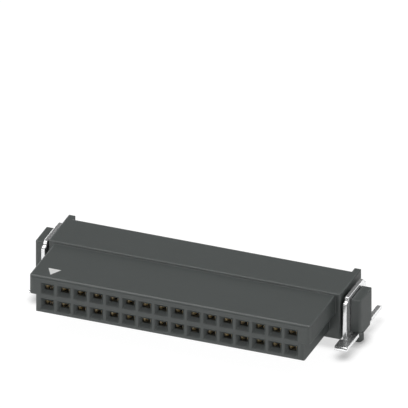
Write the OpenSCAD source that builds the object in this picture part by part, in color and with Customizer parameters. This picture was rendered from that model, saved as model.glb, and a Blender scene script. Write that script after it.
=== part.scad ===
// Two-row receptacle for surface mounting: moulded housing, spring contacts, hold-down clips.
// X runs along the rows, the mating face looks to -Y, and Z = 0 is the face of the board.
// The origin lies on the board, midway between the two locating pegs.

/* [Contact grid] */
// Contact positions in each row
positions = 16; // [6:1:26]
// Distance between neighbouring positions of a row
pitch = 1.27; // [1.25:0.01:1.6]
// Distance between the two rows
row_pitch = 1.27; // [1.25:0.01:1.6]

/* [Mating part] */
// Length from the mating face to the rear block
mating_len = 5.11; // [4.6:0.01:7]
// Height of the underside above the board
mating_lift = 0.72; // [0.5:0.02:1.2]
// Wall between an end funnel and the side of the lower half
end_wall = 0.45; // [0.35:0.01:0.8]
// Wall above the upper funnels
top_wall = 0.455; // [0.38:0.005:0.6]
// Wall below the lower funnels
floor_wall = 0.315; // [0.28:0.005:0.5]
// Height of the upper half, which stands out at both ends as the key
key_h = 1.49; // [1.2:0.01:1.7]
// How far the upper half stands out past the lower half at each end
key_step = 0.47; // [0.2:0.01:0.8]
// Radius of the upright corners beside the mating face
corner_r = 0.3; // [0.1:0.05:0.4]
// Radius along the upper front edge
front_r = 0.28; // [0.1:0.01:0.35]
// Radius along the upper side edges
edge_r = 0.08; // [0.05:0.01:0.24]
// Radius along the lower front edge
base_r = 0.2; // [0.05:0.01:0.26]

/* [Lead-in funnels] */
// Width of the opening in the mating face
funnel_w = 1.07; // [0.95:0.01:1.15]
// Height of the opening in the mating face
funnel_h = 0.93; // [0.8:0.01:1.15]
// Depth from the mating face to the throat
funnel_depth = 0.3; // [0.2:0.05:0.7]
// Width of the throat
throat_w = 0.63; // [0.5:0.01:0.75]
// Height of the throat
throat_h = 0.36; // [0.3:0.01:0.48]
// Length of the throat
throat_len = 0.15; // [0.1:0.01:0.3]

/* [Rear block] */
// Length of the block along Y
block_len = 3.56; // [3:0.02:5]
// Distance from the front of the block back to the axis of the pegs
peg_setback = 1.85; // [1.6:0.05:2.5]
// How far the block stands out past the mating part at each end
block_step = 0.44; // [0.3:0.01:0.8]
// Height of the block's deck above the mating part
deck_step = 0.16; // [0.1:0.01:0.5]
// Gap between the block and the board
board_gap = 0.13; // [0.05:0.01:0.25]
// Thickness of the cheeks beside the contact tails
cheek_t = 0.5; // [0.3:0.02:0.8]
// Length of the cheeks behind the block
cheek_len = 0.67; // [0.3:0.01:1]
// Radius of the upright front corners of the block
block_corner_r = 0.16; // [0.05:0.01:0.3]
// Radius along the upper edges of the block and round the ends of the cheeks
block_r = 0.1; // [0.05:0.01:0.18]

/* [Ears and webs] */
// Thickness of an ear along X
ear_t = 0.77; // [0.6:0.01:1.2]
// Length of an ear along Y
ear_len = 2.34; // [1.9:0.02:3]
// Height of an ear's top above the board
ear_top = 3.2; // [2.9:0.02:3.4]
// Radius of the upright outer corners of an ear
ear_r = 0.2; // [0.1:0.02:0.5]
// Radius along the upper edges of an ear
ear_edge_r = 0.08; // [0.03:0.01:0.09]
// Height of the notches under both ends of an ear
ear_notch = 0.25; // [0.1:0.01:0.5]
// Length along Y of the web that joins an ear to the block
web_len = 1.4; // [1.2:0.02:1.7]

/* [Locating pegs] */
// Diameter of a peg
peg_d = 0.8; // [0.6:0.02:1.1]
// Length of a peg below the face of the board
peg_len = 0.78; // [0.5:0.02:1.5]
// Chamfer at the tip of a peg
peg_tip = 0.14; // [0.05:0.01:0.2]
// Distance from the outer side of the ear to the peg's axis
peg_inset = 0.64; // [0.6:0.01:0.85]
// Gap between the pad round a peg and the board
pad_gap = 0.05; // [0.02:0.01:0.1]

/* [Hold-down clips] */
// Thickness of the clip's sheet
clip_t = 0.28; // [0.2:0.01:0.4]
// Gap between a clip and the side of the block
clip_gap = 0.23; // [0.1:0.01:0.4]
// Clearance between a clip and the ear and web that hold it
clip_fit = 0.04; // [0.02:0.01:0.1]
// Distance between the outer edges of the two legs
leg_span = 4; // [3.8:0.02:5]
// Length of the crown
crown_span = 3.12; // [2.8:0.02:3.6]
// Height of the clip's top above the board
clip_top = 3.54; // [3.35:0.01:3.8]
// Height of the crown over the web
crown_h = 0.7; // [0.62:0.01:0.9]
// Distance from the axis of the pegs to the end of the front solder foot
foot_front = 3.26; // [3:0.02:4.5]
// Distance from the axis of the pegs to the end of the rear solder foot
foot_rear = 3.9; // [3:0.02:4.5]
// Width of the solder feet along X beside the legs
foot_w = 0.8; // [0.75:0.01:1]
// How far the front foot widens inwards once it has passed the block
toe_in = 0.2; // [0.1:0.01:0.5]
// Width of the tongue in which the rear foot ends
heel_w = 0.36; // [0.25:0.01:0.7]
// Inside radius of the bend between a leg and its foot
clip_bend_r = 0.1; // [0.05:0.01:0.2]
// Radius of the corners of the feet and the crown
clip_corner_r = 0.1; // [0.04:0.01:0.15]

/* [Contacts] */
// Thickness of the contact's sheet
sheet_t = 0.15; // [0.1:0.01:0.18]
// Width of the channel that seats in the passage
contact_w = 0.86; // [0.8:0.01:0.94]
// Height of the channel and the beams
contact_h = 0.42; // [0.36:0.01:0.6]
// Clearance between a contact and its passage
contact_fit = 0.03; // [0.01:0.01:0.05]
// Distance from the throat to the tips of the beams
tip_gap = 0.12; // [0.05:0.01:0.3]
// Length of the spring beams
beam_len = 2.6; // [2:0.1:3]
// Opening between the beams at the contact points
beam_gap = 0.1; // [0.04:0.01:0.2]
// How far the tips of the beams flare out for the lead-in
beam_flare = 0.14; // [0.05:0.01:0.16]
// Length of the channel
channel_len = 1.4; // [1:0.1:1.8]
// Width of the tail
tail_w = 0.22; // [0.16:0.01:0.26]
// Inside radius of the bends in the tail
tail_bend_r = 0.1; // [0.05:0.01:0.2]
// Gap between the back of the block and the upright part of the tail
leg_gap = 0.25; // [0.22:0.01:0.45]
// Length of a solder foot behind the upright part
foot_len = 1.2; // [0.8:0.05:1.6]

/* [Hidden] */
$fn = 48;
// Number of steps in the round stretch of an outline
arc_steps = 8;
// Number of steps along a spring beam
beam_steps = 14;
// Share of a beam's length at which it touches the mating pin
touch_at = 0.8;
// Small length by which a cut runs past the face that it opens
over = 0.05;
// Length of the step that holds a contact in its passage, and its ramp
barb_len = 0.12;
barb_ramp = 0.35;
// Share of the sheet's thickness that the rounded end of a clip's foot takes
foot_round = 0.8;

block_front = -peg_setback;
block_back = block_front + block_len;
face_y = block_front - mating_len;
throat_y = face_y + funnel_depth;
passage_y = throat_y + throat_len;

lower_half_x = (positions - 1) * pitch / 2 + funnel_w / 2 + end_wall;
upper_half_x = lower_half_x + key_step;
block_x = upper_half_x + block_step;

rows_mid = mating_lift + floor_wall + (row_pitch + funnel_h) / 2;
mating_h = row_pitch + funnel_h + floor_wall + top_wall;
mating_top = mating_lift + mating_h;
key_z = mating_top - key_h;
deck_z = mating_top + deck_step;

passage_w = contact_w + 2 * contact_fit;
passage_h = contact_h + 2 * contact_fit;

clip_x = block_x + clip_gap;
ear_x = clip_x + clip_t + clip_fit;
ear_out = ear_x + ear_t;
ear_bottom = clip_t + clip_fit;
peg_x = ear_out - peg_inset;
web_top = clip_top - crown_h;

leg_in = web_len / 2 + clip_fit;
leg_out = leg_span / 2;
crown_out = crown_span / 2;
shoulder_r = (leg_out - crown_out) / 2;
shoulder_z = clip_top - clip_corner_r - shoulder_r;
toe_start = max(leg_out, peg_setback + clip_gap);

tip_y = passage_y + tip_gap;
channel_front = tip_y + beam_len;
channel_back = channel_front + channel_len;
tail_x = (contact_w - tail_w) / 2;
tail_front = block_back + leg_gap;
tail_back = tail_front + sheet_t;
foot_end = tail_back + foot_len;

function column_x(column) = (column - (positions - 1) / 2) * pitch;

// Row 0 is the upper row and row 1 the lower one
function row_z(row) = rows_mid + (row == 0 ? 1 : -1) * row_pitch / 2;

function contact_name(row, column) =
    str("contact_", row == 0 ? "upper" : "lower", "_", column < 9 ? "0" : "", column + 1);

// Points on the arc round centre from angle a0 to angle a1
function arc(centre, r, a0, a1) =
    [for (i = [0:arc_steps]) let (a = a0 + (a1 - a0) * i / arc_steps) centre + r * [cos(a), sin(a)]];

// Carries an outline drawn in X and Z along Y from y0 to y1
module along_y(y0, y1) {
    translate([0, y1, 0]) rotate([90, 0, 0]) linear_extrude(y1 - y0) children();
}

// Carries an outline drawn in Y and Z along X from x0 to x1
module along_x(x0, x1) {
    translate([x0, 0, 0]) rotate([90, 0, 90]) linear_extrude(x1 - x0) children();
}

// Rectangle over the ranges u and v, with the corners named in soft rounded.
// A corner is a pair of ends, 0 for the low end of a range and 1 for the high one.
module soft_rect(u, v, r, soft) {
    difference() {
        translate([u[0], v[0]]) square([u[1] - u[0], v[1] - v[0]]);
        for (c = soft) {
            inner = [u[c[0]] + (c[0] == 0 ? r : -r), v[c[1]] + (c[1] == 0 ? r : -r)];
            difference() {
                translate([min(u[c[0]], inner[0]), min(v[c[1]], inner[1])]) square(r);
                translate(inner) circle(r);
            }
        }
    }
}

// Moulded block over the ranges x, y and z, with rounded edges.
// plan names the upright edges, sides those that run along Y and ends those that run along X.
module moulded(x, y, z, plan_r, plan, side_r, sides, end_r, ends) {
    intersection() {
        translate([0, 0, z[0]]) linear_extrude(z[1] - z[0]) soft_rect(x, y, plan_r, plan);
        along_y(y[0], y[1]) soft_rect(x, z, side_r, sides);
        along_x(x[0], x[1]) soft_rect(y, z, end_r, ends);
    }
}

module mating_part() {
    front = [[0, 0], [1, 0]];
    y = [face_y, block_front + over];
    moulded([-upper_half_x, upper_half_x], y, [key_z, mating_top],
        corner_r, front, edge_r, [[0, 1], [1, 1]], front_r, [[0, 1]]);
    moulded([-lower_half_x, lower_half_x], y, [mating_lift, key_z],
        corner_r, front, edge_r, [], base_r, [[0, 0]]);
}

module rear_block() {
    moulded([-block_x, block_x], [block_front, block_back], [board_gap, deck_z],
        block_corner_r, [[0, 0], [1, 0]], block_r, [], block_r, [[0, 1]]);
    for (x = [-block_x, block_x - cheek_t])
        moulded([x, x + cheek_t], [block_back - over, block_back + cheek_len], [board_gap, deck_z],
            block_r, [[0, 1], [1, 1]], block_r, [], block_r, [[1, 1]]);
}

// Ear on the right-hand end, with its web and the pad and peg below it
module ear() {
    moulded([ear_x, ear_out], [-ear_len / 2, ear_len / 2], [ear_bottom + ear_notch, ear_top],
        ear_r, [[1, 0], [1, 1]], ear_edge_r, [[1, 1]], ear_edge_r, [[0, 1], [1, 1]]);
    translate([ear_x, -web_len / 2, ear_bottom]) cube([ear_t, web_len, ear_notch + over]);
    translate([block_x - over, -web_len / 2, board_gap])
        cube([ear_x - block_x + 2 * over, web_len, web_top - board_gap]);
    translate([block_x - over, -web_len / 2, pad_gap])
        cube([peg_x + peg_d / 2 - block_x + over, web_len, ear_bottom - pad_gap + over]);
    translate([peg_x, 0, 0]) peg();
}

module peg() {
    translate([0, 0, peg_tip - peg_len]) cylinder(d = peg_d, h = peg_len - peg_tip + pad_gap + over);
    translate([0, 0, -peg_len]) cylinder(d1 = peg_d - 2 * peg_tip, d2 = peg_d, h = peg_tip);
}

// Outline of a funnel, [across, along Y], with the half widths of its throat and its mouth
function funnel_outline(throat, mouth) =
    let (grow = over * (mouth - throat) / funnel_depth)
    [
        [-throat, throat_y],
        [throat, throat_y],
        [mouth + grow, face_y - over],
        [-mouth - grow, face_y - over],
    ];

// Four-sided funnels: wedges across the columns meet wedges across the rows
module funnels() {
    intersection() {
        translate([0, 0, mating_lift]) linear_extrude(mating_h)
            for (column = [0:positions - 1])
                translate([column_x(column), 0])
                    polygon(funnel_outline(throat_w / 2, funnel_w / 2));
        along_x(-lower_half_x, lower_half_x)
            for (row = [0, 1])
                translate([0, row_z(row)])
                    polygon([for (p = funnel_outline(throat_h / 2, funnel_h / 2)) [p[1], p[0]]]);
    }
}

// Throat and passage of one contact, seen along Y on the contact's own axis
module passage() {
    along_y(throat_y - over, passage_y + over) square([throat_w, throat_h], center = true);
    along_y(passage_y, block_back + over) square([passage_w, passage_h], center = true);
}

module housing() {
    color("#4d5150") difference() {
        union() {
            mating_part();
            rear_block();
            ear();
            mirror([1, 0, 0]) ear();
        }
        funnels();
        for (row = [0, 1])
            for (column = [0:positions - 1])
                translate([column_x(column), 0, row_z(row)]) passage();
    }
}

// Half of the clip's upright plate in Y and Z: a leg, the shoulder that draws it in, and half of the crown
function clip_half() = concat(
    [[leg_in, clip_t + clip_bend_r], [leg_out, clip_t + clip_bend_r]],
    arc([leg_out - shoulder_r, shoulder_z - shoulder_r], shoulder_r, 0, 90),
    arc([crown_out + shoulder_r, shoulder_z + shoulder_r], shoulder_r, 270, 180),
    arc([crown_out - clip_corner_r, clip_top - clip_corner_r], clip_corner_r, 0, 90),
    [[0, clip_top], [0, clip_top - crown_h], [leg_in, clip_top - crown_h]]
);

// Section of the bend from a leg into its foot, in X and Z
function clip_bend() =
    let (r = clip_bend_r, outer_r = clip_bend_r + clip_t, centre = [clip_x + outer_r, outer_r])
    concat(
        arc(centre, outer_r, 180, 270),
        [[clip_x + foot_w, 0], [clip_x + foot_w, clip_t]],
        arc(centre, r, 270, 180),
        [[clip_x + clip_t, outer_r + over], [clip_x, outer_r + over]]
    );

// Solder foot of the clip from the leg to its rounded end at end_y; inner_x is the inner side of that end
module clip_foot(inner_x, end_y) {
    translate([clip_x, leg_out - over, 0]) cube([foot_w, toe_start - leg_out + 2 * over, clip_t]);
    moulded([inner_x, clip_x + foot_w], [toe_start, end_y], [0, clip_t],
        clip_corner_r, [[0, 1], [1, 1]], clip_corner_r, [], foot_round * clip_t, [[1, 1]]);
}

// Half of the clip's upright plate with its bend, on the rear side
module clip_side() {
    along_x(clip_x, clip_x + clip_t) polygon(clip_half());
    along_y(leg_in, leg_out) polygon(clip_bend());
}

// Clip on the right-hand end
module hold_down() {
    clip_side();
    clip_foot(clip_x + foot_w - heel_w, foot_rear);
    mirror([0, 1, 0]) {
        clip_side();
        clip_foot(clip_x - toe_in, foot_front);
    }
}

module hold_down_right() {
    color("#d9dcdc") hold_down();
}

module hold_down_left() {
    color("#d9dcdc") mirror([1, 0, 0]) hold_down();
}

// Centre line of a beam: eases in from the channel's side to the contact point, then flares to the tip
function beam_x(s) =
    let (root = (contact_w - sheet_t) / 2, touch = (beam_gap + sheet_t) / 2)
    s < touch_at
        ? touch + (root - touch) * (1 + cos(180 * s / touch_at)) / 2
        : touch + beam_flare * pow((s - touch_at) / (1 - touch_at), 2);

// Outline of the right-hand beam in X and Y, from its root in the channel to its tip
function beam_outline() =
    let (line = concat(
        [[beam_x(0), channel_front + over]],
        [for (i = [0:beam_steps]) [beam_x(i / beam_steps), channel_front - beam_len * i / beam_steps]]
    ))
    concat(
        [for (p = line) p + [sheet_t / 2, 0]],
        [for (i = [len(line) - 1:-1:0]) line[i] - [sheet_t / 2, 0]]
    );

// Step on the channel's side that bites behind the passage wall's face, with its ramp, in X and Y
function barb_outline() =
    let (side = contact_w / 2, back = channel_back - barb_len)
    [
        [side - sheet_t / 2, back - barb_len - barb_ramp],
        [side, back - barb_len - barb_ramp],
        [side + contact_fit, back - barb_len],
        [side + contact_fit, back],
        [side - sheet_t / 2, back],
    ];

// Strip from the channel's base to the solder foot, in Y and Z.
// It leaves the block, turns down and runs back along the board.
function tail_outline(base_z) =
    let (
        r = tail_bend_r,
        outer_r = tail_bend_r + sheet_t,
        top = [tail_back - outer_r, base_z + sheet_t - outer_r],
        bottom = [tail_front + outer_r, outer_r]
    )
    concat(
        [[channel_back - over, base_z + sheet_t]],
        arc(top, outer_r, 90, 0),
        arc(bottom, r, 180, 270),
        [[foot_end, sheet_t], [foot_end, 0]],
        arc(bottom, outer_r, 270, 180),
        arc(top, r, 0, 90),
        [[channel_back - over, base_z]]
    );

// Contact on the axis of its passage; hand is 1 where the tail leaves on the right and -1 on the left
module contact(row, column) {
    hand = row == 0 ? 1 : -1;
    base_z = row_z(row) - contact_h / 2;
    color("#c9a544") translate([column_x(column), 0, 0]) {
        for (side = [0, 1])
            mirror([side, 0, 0]) translate([0, 0, base_z]) linear_extrude(contact_h) {
                polygon(beam_outline());
                polygon(barb_outline());
                translate([contact_w / 2 - sheet_t, channel_front]) square([sheet_t, channel_len]);
            }
        translate([-contact_w / 2, channel_front, base_z]) cube([contact_w, channel_len, sheet_t]);
        along_x(hand * tail_x - tail_w / 2, hand * tail_x + tail_w / 2) polygon(tail_outline(base_z));
    }
}

housing();
hold_down_left();
hold_down_right();
for (row = [0, 1])
    for (column = [0:positions - 1])
        contact(row, column);
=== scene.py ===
"""Looks for a two-row board receptacle: moulded housing, spring contacts and hold-down clips."""
import math

import bpy
import numpy as np
from bpy.props import FloatProperty, FloatVectorProperty, PointerProperty
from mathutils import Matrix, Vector


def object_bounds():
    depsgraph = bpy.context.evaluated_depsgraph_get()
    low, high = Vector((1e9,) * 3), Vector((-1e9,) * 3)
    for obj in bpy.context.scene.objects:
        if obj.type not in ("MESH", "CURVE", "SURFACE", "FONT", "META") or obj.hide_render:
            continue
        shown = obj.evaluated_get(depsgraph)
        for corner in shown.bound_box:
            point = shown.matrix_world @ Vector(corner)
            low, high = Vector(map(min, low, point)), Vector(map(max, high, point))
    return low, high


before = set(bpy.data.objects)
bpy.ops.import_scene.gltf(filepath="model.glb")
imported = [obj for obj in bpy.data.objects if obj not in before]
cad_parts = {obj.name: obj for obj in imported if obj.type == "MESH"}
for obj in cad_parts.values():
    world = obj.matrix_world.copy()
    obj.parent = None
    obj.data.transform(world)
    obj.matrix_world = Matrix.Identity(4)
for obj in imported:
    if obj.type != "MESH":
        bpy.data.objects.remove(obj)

bl_info = {
    "name": "Board receptacle looks",
    "version": (1, 0, 0),
    "blender": (4, 5, 0),
    "location": "View3D > Sidebar > Receptacle",
    "description": "Dresses a packed two-row board receptacle and sets its studio stage",
    "category": "Object",
}

MM = 0.001
CAMERA_DISTANCE = 0.2
DOME_STRENGTH = 0.22
# Zones of the studio dome: direction, cosines where the zone starts and is full, and the change in strength
DOME_ZONES = {
    "overhead": ((-0.316, 0.161, 0.932), 0.88, 0.98, 3.1),
    "left front": ((-0.60, -0.80, -0.25), 0.72, 0.93, 2.2),
    "right side": ((0.95, -0.30, -0.25), 0.72, 0.93, 0.82),
    "right rear": ((0.48, 0.80, 0.36), 0.95, 0.98, 1.5),
    "left rear": ((-0.62, 0.78, 0.06), 0.92, 0.98, 2.0),
    "darker wall behind": ((-0.316, 0.817, 0.483), 0.90, 0.98, -0.14),
    "below the floor": ((0.0, 0.0, -1.0), 0.01, 0.02, 0.8),
}
CAD_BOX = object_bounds()
CONTACTS = [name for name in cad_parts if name.startswith("contact_")]
CLIPS = [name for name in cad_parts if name.startswith("hold_down_")]


class HousingLook(bpy.types.PropertyGroup):
    """Colours, grain and tool marks of the moulded housing."""

    shade: FloatVectorProperty(
        name="Shade", description="Main colour of the moulding",
        subtype="COLOR", size=4, min=0, max=1, default=(0.090, 0.100, 0.097, 1))
    pale_shade: FloatVectorProperty(
        name="Pale shade", description="Colour of flow marks and fibres",
        subtype="COLOR", size=4, min=0, max=1, default=(0.102, 0.113, 0.110, 1))
    # Painted highlight: a paler colour laid on the top faces along their edges
    edge_highlight: FloatVectorProperty(
        name="Edge highlight", description="Colour of the rubbed edges",
        subtype="COLOR", size=4, min=0, max=1, default=(0.135, 0.148, 0.144, 1))
    edge_radius: FloatProperty(
        name="Edge radius", description="Softness of the moulded edges",
        unit="LENGTH", min=0, default=0.12 * MM)
    grain_size: FloatProperty(
        name="Grain size", description="Width of one pit of the spark-eroded grain",
        unit="LENGTH", min=0.001 * MM, default=0.035 * MM)
    ring_spacing: FloatProperty(
        name="Ring spacing", description="Distance between the rings of the ejector pins along X",
        unit="LENGTH", min=1 * MM, default=10.16 * MM)
    ring_radius: FloatProperty(
        name="Ring radius", description="Radius of the rings of the ejector pins",
        unit="LENGTH", min=0, default=0.6 * MM)
    ring_row: FloatProperty(
        name="Ring row", description="Place of the row of rings along Y",
        unit="LENGTH", default=-4.4 * MM)


class MarkLook(bpy.types.PropertyGroup):
    """The printed triangle that points at the first column."""

    ink: FloatVectorProperty(
        name="Ink", description="Colour of the printed triangle",
        subtype="COLOR", size=4, min=0, max=1, default=(0.92, 0.92, 0.91, 1))
    tip: FloatVectorProperty(
        name="Tip", description="Point of the triangle on the mating part's top",
        subtype="TRANSLATION", unit="LENGTH", size=2, default=(-9.525 * MM, -6.35 * MM))
    length: FloatProperty(
        name="Length", description="Length of the triangle from its tip",
        unit="LENGTH", min=0, default=0.9 * MM)
    half_width: FloatProperty(
        name="Half width", description="Half of the triangle's base",
        unit="LENGTH", min=0, default=0.5 * MM)
    ragged: FloatProperty(
        name="Ragged", description="How far the print's border strays",
        unit="LENGTH", min=0, default=0.03 * MM)
    blur: FloatProperty(
        name="Blur", description="Half width of the print's soft border",
        unit="LENGTH", min=0, default=0.01 * MM)


class MetalLook(bpy.types.PropertyGroup):
    """Colours of the plated sheet metal."""

    tin: FloatVectorProperty(
        name="Tin", description="Colour of the bright tin on the clips and tails",
        subtype="COLOR", size=4, min=0, max=1, default=(0.95, 0.955, 0.96, 1))
    dull_tin: FloatVectorProperty(
        name="Dull tin", description="Colour of the tin where it has a haze",
        subtype="COLOR", size=4, min=0, max=1, default=(0.85, 0.855, 0.86, 1))
    gold: FloatVectorProperty(
        name="Gold", description="Colour of the gold on the contact beams",
        subtype="COLOR", size=4, min=0, max=1, default=(0.86, 0.70, 0.42, 1))
    edge_radius: FloatProperty(
        name="Edge radius", description="Roll-over along the sheared edges",
        unit="LENGTH", min=0, default=0.09 * MM)


class StageLook(bpy.types.PropertyGroup):
    """Camera and floor."""

    azimuth: FloatProperty(
        name="Azimuth", description="Turn of the camera to the right of the mating face",
        subtype="ANGLE", default=math.radians(21.14))
    elevation: FloatProperty(
        name="Elevation", description="Height of the camera above the board",
        subtype="ANGLE", default=math.radians(28.87))
    view_width: FloatProperty(
        name="View width", description="Width of the parallel view",
        unit="LENGTH", min=1 * MM, default=29.757 * MM)
    aim: FloatVectorProperty(
        name="Aim", description="Point in the middle of the view",
        subtype="TRANSLATION", unit="LENGTH", size=3, default=(0.639 * MM, -1.594 * MM, 9.140 * MM))
    floor_radius: FloatProperty(
        name="Floor radius", description="Radius of the pale floor",
        unit="LENGTH", min=10 * MM, default=900 * MM)
    shadow_reach: FloatProperty(
        name="Shadow reach", description="Distance within which the object shades the floor below it",
        unit="LENGTH", min=0, default=1.04 * MM)


class ReceptacleLook(bpy.types.PropertyGroup):
    """Everything that a user of the panel can change."""

    housing: PointerProperty(type=HousingLook)
    mark: PointerProperty(type=MarkLook)
    metal: PointerProperty(type=MetalLook)
    stage: PointerProperty(type=StageLook)


def feed(tree, socket, side):
    """Wires a socket to another one, or sets it to a plain value."""
    if isinstance(side, bpy.types.NodeSocket):
        tree.links.new(side, socket)
    else:
        socket.default_value = side


def put(tree, kind, sockets=None, **settings):
    """Adds a node, makes its settings and feeds its sockets."""
    made = tree.nodes.new(kind)
    for key, value in settings.items():
        setattr(made, key, value)
    for key, side in (sockets or {}).items():
        feed(tree, made.inputs[key], side)
    return made


def new_material(name):
    """Returns a material with an empty node tree, and the tree."""
    material = bpy.data.materials.new(name)
    material.use_nodes = True
    material.node_tree.nodes.clear()
    return material, material.node_tree


def close_material(tree, shader):
    """Wires a shader to the material's output."""
    put(tree, "ShaderNodeOutputMaterial", {"Surface": shader.outputs[0]})


def place_mm(tree, stretch=(1, 1, 1)):
    """Object coordinates in millimetres, drawn out along the axes with a stretch below one."""
    coords = put(tree, "ShaderNodeTexCoord").outputs["Object"]
    scale = [s / MM for s in stretch]
    return put(tree, "ShaderNodeMapping", {"Vector": coords, "Scale": scale}).outputs[0]


def noise(tree, place, per_mm, detail=2.0, rough=0.5):
    """Noise with so many waves in a millimetre; its mean is about a half."""
    sockets = {"Vector": place, "Scale": per_mm, "Detail": detail, "Roughness": rough}
    return put(tree, "ShaderNodeTexNoise", sockets).outputs["Fac"]


def spread(tree, value, given, wanted):
    """Maps a given range of a value to the wanted one, with its ends held."""
    ranges = {"From Min": given[0], "From Max": given[1], "To Min": wanted[0], "To Max": wanted[1]}
    return put(tree, "ShaderNodeMapRange", {"Value": value, **ranges}).outputs["Result"]


def maths(tree, operation, first, second=0.0):
    """One step of arithmetic; each side is a socket or a number."""
    return put(tree, "ShaderNodeMath", {0: first, 1: second}, operation=operation).outputs[0]


def vector_maths(tree, operation, first, second=(0, 0, 0)):
    """One step of vector arithmetic; each side is a socket or a vector."""
    result = "Value" if operation in ("DOT_PRODUCT", "LENGTH") else "Vector"
    return put(tree, "ShaderNodeVectorMath", {0: first, 1: second}, operation=operation).outputs[result]


def mixed(tree, share, first, second):
    """Colour between two others; first and second are colours or sockets."""
    made = put(tree, "ShaderNodeMix", {"Factor": share}, data_type="RGBA")
    colours = [socket for socket in made.inputs if socket.type == "RGBA"]
    for socket, side in zip(colours, (first, second)):
        feed(tree, socket, side)
    return [socket for socket in made.outputs if socket.type == "RGBA"][0]


def flat_normal(tree):
    """Normal of the surface itself, before any rounding."""
    return put(tree, "ShaderNodeNewGeometry").outputs["Normal"]


def soft_edges(tree, radius):
    """Normal rounded over the edges, and a mask that is one on an edge and nought on a flat."""
    rounded = put(tree, "ShaderNodeBevel", {"Radius": radius}, samples=8).outputs["Normal"]
    along = vector_maths(tree, "DOT_PRODUCT", rounded, flat_normal(tree))
    return rounded, spread(tree, along, (0.99, 0.85), (0.0, 1.0))


def inside(tree, point, way, limit, blur):
    """One where the point's length along a unit vector is below a limit, nought beyond, softly."""
    along = vector_maths(tree, "DOT_PRODUCT", point, way)
    return spread(tree, along, (limit - blur, limit + blur), (1.0, 0.0))


def printed_triangle(tree, look, stray):
    """Mask of the triangle: inside its base line and its two slanted sides, with a slightly ragged border."""
    place = put(tree, "ShaderNodeTexCoord").outputs["Object"]
    point = vector_maths(tree, "SUBTRACT", place, (look.tip[0], look.tip[1], 0))
    shift = vector_maths(tree, "MULTIPLY", stray, (0, look.ragged, 0))
    point = vector_maths(tree, "ADD", point, shift)
    side = Vector((look.length, -look.half_width, 0)).normalized()
    mask = inside(tree, point, (0, 1, 0), look.length, look.blur)
    for way in (side, Vector((-side.x, side.y, 0))):
        mask = maths(tree, "MULTIPLY", mask, inside(tree, point, way, 0.0, look.blur))
    return mask


def ejector_rings(tree, look, place):
    """Height of the rings that the ejector pins leave: circles evenly apart along X, on one row in Y."""
    axes = put(tree, "ShaderNodeSeparateXYZ", {"Vector": place}).outputs
    x = maths(tree, "PINGPONG", axes["X"], look.ring_spacing / MM / 2)
    y = maths(tree, "SUBTRACT", axes["Y"], look.ring_row / MM)
    spoke = put(tree, "ShaderNodeCombineXYZ", {"X": x, "Y": y}).outputs["Vector"]
    off_ring = maths(tree, "SUBTRACT", vector_maths(tree, "LENGTH", spoke), look.ring_radius / MM)
    return spread(tree, maths(tree, "ABSOLUTE", off_ring), (0.0, 0.05), (1.0, 0.0))


def moulded_plastic(look, mark):
    """Anthracite filled plastic: grain, flow marks, a painted highlight along the top edges, ejector rings
    and a printed triangle.
    """
    material, tree = new_material("moulded_anthracite")
    place = place_mm(tree)
    flow = noise(tree, place_mm(tree, (0.25, 1, 1)), per_mm=0.9, detail=4.0, rough=0.6)
    fibre = noise(tree, place_mm(tree, (0.2, 1, 1)), per_mm=14.0, rough=0.6)
    grain = noise(tree, place, per_mm=MM / look.grain_size, rough=0.6)
    facing = put(tree, "ShaderNodeSeparateXYZ", {"Vector": flat_normal(tree)}).outputs["Z"]
    upward = spread(tree, facing, (0.2, 0.7), (0.0, 1.0))
    downward = spread(tree, facing, (-0.2, -0.7), (0.0, 1.0))

    flow_marks = spread(tree, flow, (0.35, 0.75), (0.0, 0.3))
    fibre_marks = spread(tree, fibre, (0.6, 0.75), (0.0, 0.35))
    moulded = mixed(tree, maths(tree, "ADD", flow_marks, fibre_marks), look.shade, look.pale_shade)
    # Painted highlight: the top faces are paler in a band along their edges, mottled by the fibres
    highlight_band = soft_edges(tree, look.edge_radius * 2.4)[1]
    highlighted = maths(tree, "MULTIPLY", spread(tree, highlight_band, (0.0, 0.35), (0.0, 1.0)), upward)
    highlight_share = maths(tree, "MULTIPLY", highlighted, spread(tree, fibre, (0.3, 0.7), (0.7, 1.0)))
    with_highlight = mixed(tree, highlight_share, moulded, look.edge_highlight)
    printed = maths(tree, "MULTIPLY", printed_triangle(tree, mark, fibre), upward)
    covered = maths(tree, "MULTIPLY", printed, spread(tree, grain, (0.25, 0.4), (0.8, 1.0)))
    colour = mixed(tree, covered, with_highlight, mark.ink)

    rounded, edge = soft_edges(tree, look.edge_radius)
    polish = maths(tree, "MULTIPLY", edge, -0.06)
    rough = maths(tree, "ADD", spread(tree, grain, (0.3, 0.7), (0.32, 0.40)), polish)
    rings = maths(tree, "MULTIPLY", ejector_rings(tree, look, place), downward)
    height = maths(tree, "ADD", grain, maths(tree, "MULTIPLY", rings, 3.0))
    bump = put(tree, "ShaderNodeBump",
               {"Strength": 0.25, "Distance": 0.006 * MM, "Height": height, "Normal": rounded})
    grazing = put(tree, "ShaderNodeLayerWeight", {"Blend": 0.5}).outputs["Facing"]
    gloss = spread(tree, grazing, (0.35, 0.66), (0.55, 0.07))
    shader = put(tree, "ShaderNodeBsdfPrincipled",
                 {"Base Color": colour, "Roughness": rough, "IOR": 1.45, "Normal": bump.outputs["Normal"]})
    # The level that is left where a link to this socket is dropped
    shader.inputs["Specular IOR Level"].default_value = 0.35
    feed(tree, shader.inputs["Specular IOR Level"], gloss)
    close_material(tree, shader)
    return material


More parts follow.
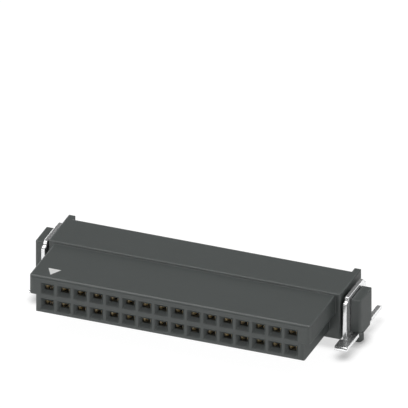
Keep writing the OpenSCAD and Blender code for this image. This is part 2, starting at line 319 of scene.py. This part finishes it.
def bright_tin(look):
    """Tin-plated sheet: rolling lines along Z and Y, and a thin haze."""
    material, tree = new_material("bright_tin")
    rounded, edge = soft_edges(tree, look.edge_radius)
    lines = noise(tree, place_mm(tree, (1, 0.12, 0.12)), per_mm=22.0, detail=3.0, rough=0.6)
    haze = noise(tree, place_mm(tree), per_mm=2.2, detail=4.0, rough=0.6)
    colour = mixed(tree, spread(tree, haze, (0.45, 0.75), (0.0, 0.8)), look.tin, look.dull_tin)
    scuffed = maths(tree, "MULTIPLY", edge, 0.05)
    rough = maths(tree, "ADD", spread(tree, lines, (0.3, 0.7), (0.12, 0.20)), scuffed)
    bump = put(tree, "ShaderNodeBump",
               {"Strength": 0.12, "Distance": 0.002 * MM, "Height": lines, "Normal": rounded})
    shader = put(tree, "ShaderNodeBsdfPrincipled",
                 {"Base Color": colour, "Metallic": 0.75, "Roughness": rough,
                  "Normal": bump.outputs["Normal"]})
    close_material(tree, shader)
    return material


def plated_contact(look):
    """Contact strip: gold on the beams, tin on the tail, with a mottled border between them."""
    material, tree = new_material("plated_contact")
    rounded = soft_edges(tree, look.edge_radius / 2)[0]
    place = place_mm(tree)
    mottle = noise(tree, place, per_mm=6.0, detail=3.0, rough=0.6)
    along = put(tree, "ShaderNodeSeparateXYZ", {"Vector": place}).outputs["Y"]
    border = maths(tree, "ADD", along, spread(tree, mottle, (0.3, 0.7), (-0.15, 0.15)))
    colour = mixed(tree, spread(tree, border, (-0.1, 0.1), (0.0, 1.0)), look.gold, look.tin)
    rough = spread(tree, mottle, (0.3, 0.7), (0.30, 0.45))
    bump = put(tree, "ShaderNodeBump",
               {"Strength": 0.15, "Distance": 0.003 * MM, "Height": mottle, "Normal": rounded})
    shader = put(tree, "ShaderNodeBsdfPrincipled",
                 {"Base Color": colour, "Metallic": 0.7, "Roughness": rough,
                  "Normal": bump.outputs["Normal"]})
    close_material(tree, shader)
    return material


def seen_directly(tree):
    """One for rays from the camera, from mirrors and through clear things, nought for diffuse light."""
    path = put(tree, "ShaderNodeLightPath").outputs
    mirror = maths(tree, "MAXIMUM", path["Is Glossy Ray"], path["Is Transmission Ray"])
    return maths(tree, "MAXIMUM", path["Is Camera Ray"], mirror)


def pale_floor(look):
    """Matt floor, lifted to white for the camera and for mirrors, with a painted shadow where the lift is
    dimmed close under the object.
    """
    material, tree = new_material("pale_floor")
    paper = noise(tree, place_mm(tree), per_mm=0.05, detail=3.0)
    colour = mixed(tree, paper, (0.80, 0.80, 0.80, 1), (0.82, 0.82, 0.82, 1))
    matt = put(tree, "ShaderNodeBsdfDiffuse", {"Color": colour})
    reach = {"Distance": look.shadow_reach}
    # Painted shadow: ambient occlusion dims the white lift close under the object
    open_air = put(tree, "ShaderNodeAmbientOcclusion", reach, samples=16).outputs["AO"]
    lift = put(tree, "ShaderNodeEmission", {"Strength": spread(tree, open_air, (0.55, 0.96), (0.42, 1.15))})
    share = maths(tree, "MULTIPLY", seen_directly(tree), 0.85)
    both = put(tree, "ShaderNodeMixShader", {"Fac": share, 1: matt.outputs[0], 2: lift.outputs[0]})
    close_material(tree, both)
    return material


def dress(names, material):
    """Gives CAD nodes one material in place of their packed one."""
    for name in names:
        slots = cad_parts[name].data.materials
        slots.clear()
        slots.append(material)


def make_world():
    """Dim studio dome with soft zones that are brighter or darker."""
    world = bpy.data.worlds.new("studio")
    bpy.context.scene.world = world
    world.use_nodes = True
    tree = world.node_tree
    tree.nodes.clear()
    direction = put(tree, "ShaderNodeTexCoord").outputs["Generated"]
    strength = DOME_STRENGTH
    for way, start, full, change in DOME_ZONES.values():
        along = vector_maths(tree, "DOT_PRODUCT", direction, Vector(way).normalized())
        strength = maths(tree, "ADD", strength, spread(tree, along, (start, full), (0.0, change)))
    light = put(tree, "ShaderNodeBackground", {"Color": (1, 1, 1, 1), "Strength": strength})
    put(tree, "ShaderNodeOutputWorld", {"Surface": light.outputs[0]})


def make_camera(look):
    """Parallel camera that looks at the aim point from the set azimuth and elevation."""
    data = bpy.data.cameras.new("camera")
    data.type = "ORTHO"
    data.ortho_scale = look.view_width
    data.clip_start = 1 * MM
    data.clip_end = CAMERA_DISTANCE * 10
    item = bpy.data.objects.new("camera", data)
    bpy.context.scene.collection.objects.link(item)
    a, e = look.azimuth, look.elevation
    back = Vector((math.sin(a) * math.cos(e), -math.cos(a) * math.cos(e), math.sin(e)))
    item.location = Vector(look.aim) + back * CAMERA_DISTANCE
    item.rotation_euler = (-back).to_track_quat("-Z", "Y").to_euler()
    bpy.context.scene.camera = item


def mesh_piece(name, points, faces):
    """Mesh object from whole arrays of points and faces, with its place in its mesh."""
    mesh = bpy.data.meshes.new(name)
    mesh.from_pydata(points.tolist(), [], faces)
    mesh.update()
    item = bpy.data.objects.new(name, mesh)
    bpy.context.scene.collection.objects.link(item)
    return item


def disc_surface(radius, height, rings, steps):
    """Points (r cos a, r sin a, height) on a grid of r up to radius and a round the circle, and their hub."""
    r = np.linspace(0, radius, rings + 1)[1:, None]
    a = np.linspace(0, 2 * np.pi, steps, endpoint=False)
    points = np.stack([r * np.cos(a), r * np.sin(a), np.full((rings, steps), height)], -1).reshape(-1, 3)
    i, j = np.meshgrid(np.arange(rings - 1), np.arange(steps), indexing="ij")
    k = (j + 1) % steps
    quads = np.stack([i * steps + j, (i + 1) * steps + j, (i + 1) * steps + k, i * steps + k], -1)
    fan = np.stack([np.full(steps, len(points)), np.arange(steps), (np.arange(steps) + 1) % steps], -1)
    return np.vstack([points, [0, 0, height]]), quads.reshape(-1, 4).tolist() + fan.tolist()


class RECEPTACLE_OT_housing(bpy.types.Operator):
    """Gives the housing its moulded plastic."""

    bl_idname = "receptacle.housing"
    bl_label = "Dress housing"

    def execute(self, context):
        look = context.scene.receptacle
        dress(["housing"], moulded_plastic(look.housing, look.mark))
        return {"FINISHED"}


class RECEPTACLE_OT_contacts(bpy.types.Operator):
    """Gives the contacts their plating."""

    bl_idname = "receptacle.contacts"
    bl_label = "Dress contacts"

    def execute(self, context):
        dress(CONTACTS, plated_contact(context.scene.receptacle.metal))
        return {"FINISHED"}


class RECEPTACLE_OT_clips(bpy.types.Operator):
    """Gives the hold-down clips their bright tin."""

    bl_idname = "receptacle.clips"
    bl_label = "Dress hold-down clips"

    def execute(self, context):
        dress(CLIPS, bright_tin(context.scene.receptacle.metal))
        return {"FINISHED"}


class RECEPTACLE_OT_stage(bpy.types.Operator):
    """Sets the floor, the light and the camera."""

    bl_idname = "receptacle.stage"
    bl_label = "Set stage"

    def execute(self, context):
        look = context.scene.receptacle.stage
        points, faces = disc_surface(look.floor_radius, CAD_BOX[0].z, rings=12, steps=64)
        floor = mesh_piece("floor", points, faces)
        floor.data.materials.append(pale_floor(look))
        make_world()
        make_camera(look)
        context.scene.view_settings.view_transform = "Standard"
        return {"FINISHED"}


class RECEPTACLE_PT_panel(bpy.types.Panel):
    """Buttons and values of the receptacle's looks."""

    bl_idname = "RECEPTACLE_PT_panel"
    bl_label = "Receptacle"
    bl_space_type = "VIEW_3D"
    bl_region_type = "UI"
    bl_category = "Receptacle"

    def draw(self, context):
        look = context.scene.receptacle
        for group in (look.housing, look.mark, look.metal, look.stage):
            box = self.layout.box()
            for key in group.__annotations__:
                box.prop(group, key)
        for operator in OPERATORS:
            self.layout.operator(operator.bl_idname)


OPERATORS = (RECEPTACLE_OT_housing, RECEPTACLE_OT_contacts, RECEPTACLE_OT_clips, RECEPTACLE_OT_stage)
CLASSES = (HousingLook, MarkLook, MetalLook, StageLook, ReceptacleLook, *OPERATORS, RECEPTACLE_PT_panel)


def register():
    """Makes the classes and the scene's settings known to Blender."""
    for item in CLASSES:
        bpy.utils.register_class(item)
    bpy.types.Scene.receptacle = PointerProperty(type=ReceptacleLook)


def unregister():
    """Takes the scene's settings and the classes out again."""
    del bpy.types.Scene.receptacle
    for item in reversed(CLASSES):
        bpy.utils.unregister_class(item)


def main():
    """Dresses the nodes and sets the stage."""
    register()
    bpy.ops.receptacle.housing()
    bpy.ops.receptacle.contacts()
    bpy.ops.receptacle.clips()
    bpy.ops.receptacle.stage()


if __name__ == "__main__":
    main()
